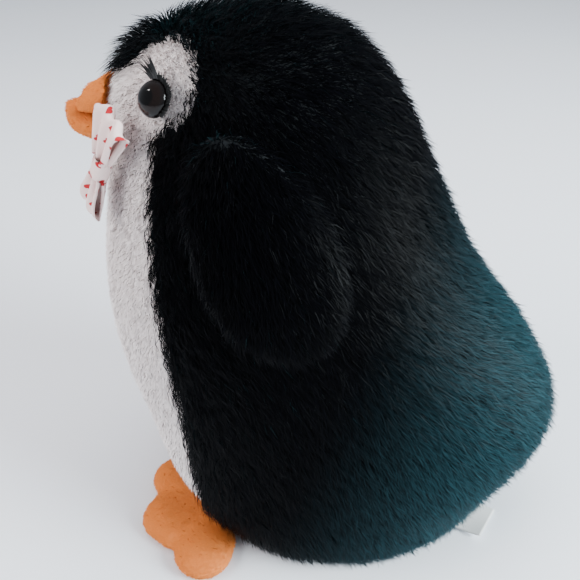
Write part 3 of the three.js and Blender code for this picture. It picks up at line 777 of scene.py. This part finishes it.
for side in ("left", "right"):
    lash_random = np.random.default_rng(7)
    front, axis, up, back = eye_axes(side)
    vertices, faces = [], []
    for angle in np.linspace(LASH_FROM, LASH_TO, LASH_ROWS):
        radial = back * math.cos(angle) + up * math.sin(angle)
        along_rim = up * math.cos(angle) - back * math.sin(angle)
        length = LASH_SHORT * (0.7 + 0.6 * lash_random.random())
        lean = SHORT_LASH_LEAN
        if angle > LONG_LASHES_FROM:
            length = LASH_LONG * (0.62 + 0.45 * lash_random.random())
            lean = LONG_LASH_LEAN + 0.30 * (lash_random.random() - 0.5)
        base = front + radial * (EYE_RADIUS + 0.0002) + axis * (0.0008 + 0.0008 * lash_random.random())
        line = []
        for step in range(LASH_SEGMENTS):
            t = step / (LASH_SEGMENTS - 1)
            line.append(base + length * t * (
                radial * (0.85 - 0.15 * t) + along_rim * lean * (0.6 + 0.5 * t) + axis * (0.45 - 0.25 * t)
            ))
        thickness = LASH_THICKNESS * (LONG_LASH_THICKER if angle > LONG_LASHES_FROM else 1)
        bristle(vertices, faces, line, thickness, unit(along_rim[None])[0])
    rim = [
        front + (back * math.cos(a) + up * math.sin(a)) * (EYE_RADIUS + 0.0003) + axis * 0.0006
        for a in np.linspace(LASH_FROM, LASH_TO, LASH_ROWS)
    ]
    for a, b in zip(rim[:-1], rim[1:]):
        bristle(vertices, faces, [a, b], LASH_BASE_WIDTH, axis)
    lashes = mesh_object(f"eyelash_{side}_strip", vertices, faces, smooth=False)
    lashes.data.materials.append(lash_black)
    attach(lashes, "body")
    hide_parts(f"eyelash_{side}")

# Bow. Thin white cotton printed with small red hearts, folded into two double loops, pleated at
# the middle and held by a narrow band. One stitch holds it to the throat, so it can turn.
CLOTH_THICKNESS = 0.00035
LOOP_STEPS = 40
LOOP_ACROSS = 28
LOOP_THROAT = 0.0055
LOOP_START = 0.0042
LOOPS = {
    # reach from the knot, half width at the end, half thickness
    "bow_loop_left": (0.0285, 0.0125, 0.0040),
    "bow_loop_right": (0.0255, 0.0105, 0.0034),
}
BAND_RADII = (0.0040, 0.0044)
BAND_HALF_WIDTH = 0.0052
HEART_SPACING = 0.0078
HEART_SIZE = 0.0016

bow_joint = next(j for j in frame["joints"] if j["name"] == "bow_turn")
bow_centre = node_middle("bow_knot")
bow_out = unit(np.array([bow_joint["axis"]], float))[0]
bow_along = node_middle("bow_loop_left") - node_middle("bow_loop_right")
bow_along = unit((bow_along - bow_out * (bow_along @ bow_out))[None])[0]
bow_across = np.cross(bow_along, bow_out)


def make_heart_print():
    """A mask of small hearts on a staggered grid, from the cloth's own flat coordinates in metres."""
    group = bpy.data.node_groups.new("heart_print", "ShaderNodeTree")
    add_input(group, "Cloth", "Vector")
    add_input(group, "Spacing", "Float")
    add_input(group, "Size", "Float")
    add_output(group, "Mask", "Float")
    inside = group.nodes.new("NodeGroupInput").outputs
    outside = group.nodes.new("NodeGroupOutput").inputs
    apart = group.nodes.new("ShaderNodeSeparateXYZ")
    group.links.new(inside["Cloth"], apart.inputs[0])
    row = math_node(group, "DIVIDE", apart.outputs[1], inside["Spacing"])
    row_number = math_node(group, "FLOOR", row)
    stagger = math_node(group, "MULTIPLY", row_number, 0.5)
    along_row = math_node(group, "DIVIDE", apart.outputs[0], inside["Spacing"])
    column = math_node(group, "ADD", along_row, stagger)
    column_number = math_node(group, "FLOOR", column)
    wobble = group.nodes.new("ShaderNodeTexWhiteNoise")
    wobble.noise_dimensions = "2D"
    cell = group.nodes.new("ShaderNodeCombineXYZ")
    group.links.new(column_number, cell.inputs[0])
    group.links.new(row_number, cell.inputs[1])
    group.links.new(cell.outputs[0], wobble.inputs["Vector"])
    turn = math_node(group, "MULTIPLY", wobble.outputs["Value"], 6.28)
    u = math_node(group, "SUBTRACT", math_node(group, "SUBTRACT", column, column_number), 0.5)
    v = math_node(group, "SUBTRACT", math_node(group, "SUBTRACT", row, row_number), 0.5)
    per_heart = math_node(group, "DIVIDE", inside["Spacing"], inside["Size"])
    cosine, sine = math_node(group, "COSINE", turn), math_node(group, "SINE", turn)
    x = math_node(group, "MULTIPLY", math_node(
        group, "SUBTRACT", math_node(group, "MULTIPLY", u, cosine), math_node(group, "MULTIPLY", v, sine),
    ), per_heart)
    y = math_node(group, "MULTIPLY", math_node(
        group, "ADD", math_node(group, "MULTIPLY", u, sine), math_node(group, "MULTIPLY", v, cosine),
    ), per_heart)
    # Inside a heart, x^2 + (y - 0.75 sqrt|x|)^2 is less than 1
    lobe = math_node(group, "MULTIPLY", math_node(group, "SQRT", math_node(group, "ABSOLUTE", x)), 0.75)
    height = math_node(group, "SUBTRACT", y, lobe)
    reach = math_node(
        group, "ADD", math_node(group, "MULTIPLY", x, x), math_node(group, "MULTIPLY", height, height),
    )
    fade = group.nodes.new("ShaderNodeMapRange")
    fade.interpolation_type = "SMOOTHSTEP"
    group.links.new(reach, fade.inputs[0])
    for socket, value in zip(fade.inputs[1:5], (0.8, 1.15, 1.0, 0.0)):
        socket.default_value = value
    group.links.new(fade.outputs[0], outside["Mask"])
    return group


heart_cotton, cotton_shader = principled("heart_cotton", Roughness=0.85, Specular_IOR_Level=0.25)
tree = heart_cotton.node_tree
cloth_place = tree.nodes.new("ShaderNodeAttribute")
cloth_place.attribute_name = "cloth"
hearts = tree.nodes.new("ShaderNodeGroup")
hearts.node_tree = make_heart_print()
tree.links.new(cloth_place.outputs["Vector"], hearts.inputs["Cloth"])
hearts.inputs["Spacing"].default_value = HEART_SPACING
hearts.inputs["Size"].default_value = HEART_SIZE
printed = mix_node(tree, hearts.outputs["Mask"], (0.80, 0.62, 0.59, 1), (0.42, 0.014, 0.022, 1))
tree.links.new(printed, cotton_shader.inputs["Base Color"])
weave = tree.nodes.new("ShaderNodeTexNoise")
weave.inputs["Scale"].default_value = 2200.0
tree.links.new(cloth_place.outputs["Vector"], weave.inputs["Vector"])
weave_bump = tree.nodes.new("ShaderNodeBump")
weave_bump.inputs["Strength"].default_value = 0.3
weave_bump.inputs["Distance"].default_value = 0.0001
tree.links.new(weave.outputs["Fac"], weave_bump.inputs["Height"])
tree.links.new(weave_bump.outputs["Normal"], cotton_shader.inputs["Normal"])


def cloth_piece(name, grid, flat_grid, closed, nodes):
    """A thin sheet of cotton from a grid of places, with its flat coordinates kept for the print."""
    rows, columns = grid.shape[:2]
    faces = []
    for i in range(rows - (0 if closed else 1)):
        for j in range(columns - 1):
            a, b = i * columns + j, (i + 1) % rows * columns + j
            faces.append((a, b, b + 1, a + 1))
    piece = mesh_object(name, grid.reshape(-1, 3), faces)
    cloth = piece.data.attributes.new("cloth", "FLOAT_VECTOR", "POINT")
    cloth.data.foreach_set("vector", flat_grid.astype(np.float32).ravel())
    thicken = piece.modifiers.new("cloth", "SOLIDIFY")
    thicken.thickness = CLOTH_THICKNESS
    thicken.offset = 0.0
    piece.data.materials.append(heart_cotton)
    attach(piece, "bow")
    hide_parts(*nodes)


def on_bow(along, out, across):
    """Places on the bow, from distances along it, out of the throat and across it."""
    sides = (bow_along, bow_out, bow_across)
    return sum(
        (share[..., None] * side for share, side in zip((along, out, across), sides)),
        bow_centre,
    )


def loop_grid(direction, reach, half_width, puff, seed):
    """Places over a pleated double loop: out along the front, round the fold and back behind."""
    waves = np.random.default_rng(seed).uniform(0, 2 * math.pi, 4)
    s = np.linspace(0, 1, LOOP_STEPS)[:, None]
    w = np.linspace(-1, 1, LOOP_ACROSS)[None, :]
    turn = math.pi * s
    out = np.sin(turn) ** 0.75
    width = LOOP_THROAT + (half_width - LOOP_THROAT) * out ** 0.8
    side = np.cos(turn)
    pleat = 0.0017 * (1 - 0.55 * out) * np.cos(2.5 * math.pi * w + waves[0])
    ruffle = 0.0011 * out * np.abs(w) ** 2 * np.sin(9 * s + 4 * w + waves[1])
    scallop = 0.0012 * np.sin(2.2 * math.pi * w + waves[2]) * out
    x = LOOP_START + (reach - LOOP_START) * out + scallop - 0.0016 * w ** 2 * out
    y = puff * np.sign(side) * np.abs(side) ** 0.8 * (0.30 + 0.70 * out) + pleat + ruffle
    z = width * w + 0.0006 * np.sin(7 * s + waves[3])
    x, y, z = np.broadcast_arrays(x, y, z)
    places = on_bow(direction * x, y, z)
    steps = np.linalg.norm(np.diff(places[:, LOOP_ACROSS // 2], axis=0), axis=1)
    run = np.concatenate([[0], np.cumsum(steps)])[:, None] + seed * 0.0131
    flat = np.stack(np.broadcast_arrays(run, w * width, 0 * z), axis=-1)
    return places, flat


band_turns, band_rows = 40, 9
angle = np.linspace(0, 2 * math.pi, band_turns, endpoint=False)[:, None]
row = np.linspace(-1, 1, band_rows)[None, :]
swell = 1 + 0.06 * np.sin(3 * angle) - 0.10 * row ** 2
band_y = BAND_RADII[0] * np.cos(angle) * swell
band_z = BAND_RADII[1] * 1.25 * np.sin(angle) * swell
band_x = BAND_HALF_WIDTH * row + 0.0004 * np.sin(2 * angle)
band_x, band_y, band_z = np.broadcast_arrays(band_x, band_y, band_z)
band_grid = on_bow(band_x, band_y, band_z)
round_band = 2 * math.pi * BAND_RADII[1] * 1.1
band_run = angle / (2 * math.pi) * round_band
band_flat = np.stack(np.broadcast_arrays(band_run, row * BAND_HALF_WIDTH, 0 * row), axis=-1)
cloth_piece(
    "bow_knot_band", band_grid, band_flat, True, ["bow_knot"],
)
for seed, (name, (reach, half_width, puff)) in enumerate(LOOPS.items()):
    direction = 1 if name == "bow_loop_left" else -1
    grid, flat = loop_grid(direction, reach, half_width, puff, 3 + seed)
    length, width = 2 * reach, 2 * half_width
    cloth_piece(
        name + "_cloth", grid, flat, False, [name],
    )

# Care label. A blank strip of white satin ribbon, a single layer, caught in the bottom seam at the
# back. It lies on the table and curls a little at its free end.
LABEL_STEPS = 16
LABEL_CURL = 0.0035
LABEL_THICKNESS = 0.00025
LABEL_LIFT = 0.0004

label_satin = noise_material(
    "label_satin", (0.78, 0.78, 0.77, 1), (0.84, 0.84, 0.83, 1), 1500, 0.00005, Roughness=0.38,
)


def square_sides(turn):
    """Two level directions at right angles, the first one turned by so much from X."""
    return np.array([[math.cos(turn), math.sin(turn)], [-math.sin(turn), math.cos(turn)]])


label_places = vertex_arrays(frame["nodes"]["care_label"].data)[0]
label_middle = label_places.mean(axis=0)
label_turn = min(
    np.linspace(0, math.pi / 2, 181),
    key=lambda turn: np.prod([np.ptp(label_places[:, :2] @ side) for side in square_sides(turn)]),
)
label_out = max(
    (side * sign for side in square_sides(label_turn) for sign in (-1, 1)),
    key=lambda side: side @ label_middle[:2],
)
label_side = np.array([-label_out[1], label_out[0]])
outs = (label_places[:, :2] - label_middle[:2]) @ label_out
sides = (label_places[:, :2] - label_middle[:2]) @ label_side
t = np.linspace(0, 1, LABEL_STEPS)[:, None]
v = np.linspace(0, 1, LABEL_STEPS)[None, :]
t, v = np.broadcast_arrays(t, v)
flat_place = (
    label_middle[:2] + (outs.min() + (outs.max() - outs.min()) * t)[..., None] * label_out
    + (sides.min() + (sides.max() - sides.min()) * v)[..., None] * label_side
)
lifted = FLOOR_GAP + LABEL_CURL * t ** 2 * (0.55 + 0.45 * np.cos(2.5 * v + 0.4)) + LABEL_LIFT
label_grid = np.concatenate([flat_place, lifted[..., None]], axis=-1)
label_faces = [
    (corner, corner + LABEL_STEPS, corner + LABEL_STEPS + 1, corner + 1)
    for row_start in range(0, LABEL_STEPS * (LABEL_STEPS - 1), LABEL_STEPS)
    for corner in range(row_start, row_start + LABEL_STEPS - 1)
]
label = mesh_object("care_label_satin", label_grid.reshape(-1, 3), label_faces)
thicken = label.modifiers.new("ribbon", "SOLIDIFY")
thicken.thickness = LABEL_THICKNESS
thicken.offset = 0.0
label.data.materials.append(label_satin)
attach(label, "body")
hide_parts("care_label")
